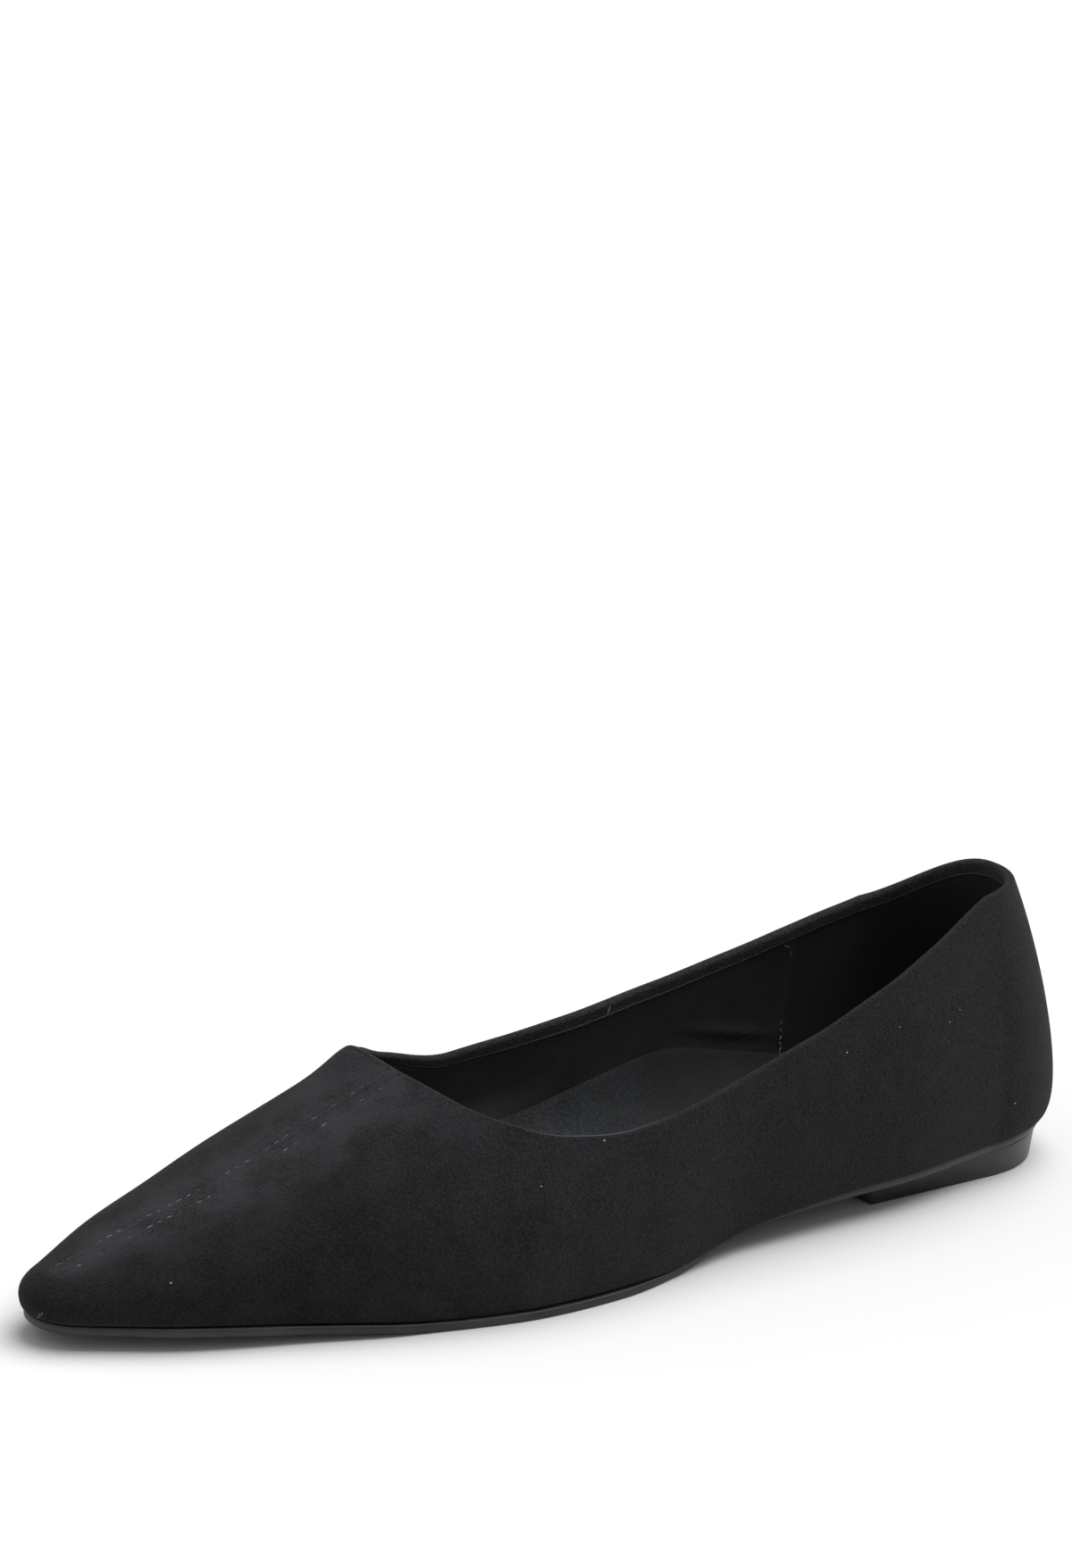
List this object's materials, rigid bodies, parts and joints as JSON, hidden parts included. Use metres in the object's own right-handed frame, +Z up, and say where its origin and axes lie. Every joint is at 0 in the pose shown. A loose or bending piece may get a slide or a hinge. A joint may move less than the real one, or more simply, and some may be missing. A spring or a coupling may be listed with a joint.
{
  "type": "pointed toe flat shoe",
  "caption": "Women's pointed toe flat shoe, left foot: low-cut suede-look upper with a vamp seam, fabric lining, arched insole, thin rubber outsole and a low block heel.",
  "frame": {"origin": "on the floor, under the middle of the shoe's box", "axes": "+Z up, -Y toward the toe, +X toward the outer side of the foot"},
  "size_m": [0.0782, 0.2522, 0.0643],
  "materials": {
    "suede": "brushed microfibre suede, black",
    "lining": "matte smooth lining, black",
    "rubber": "satin moulded rubber, black"
  },
  "bodies": {
    "root": {"upper": "suede", "insole": "lining", "outsole": "rubber", "heel": "rubber"}
  },
  "joints": []
}
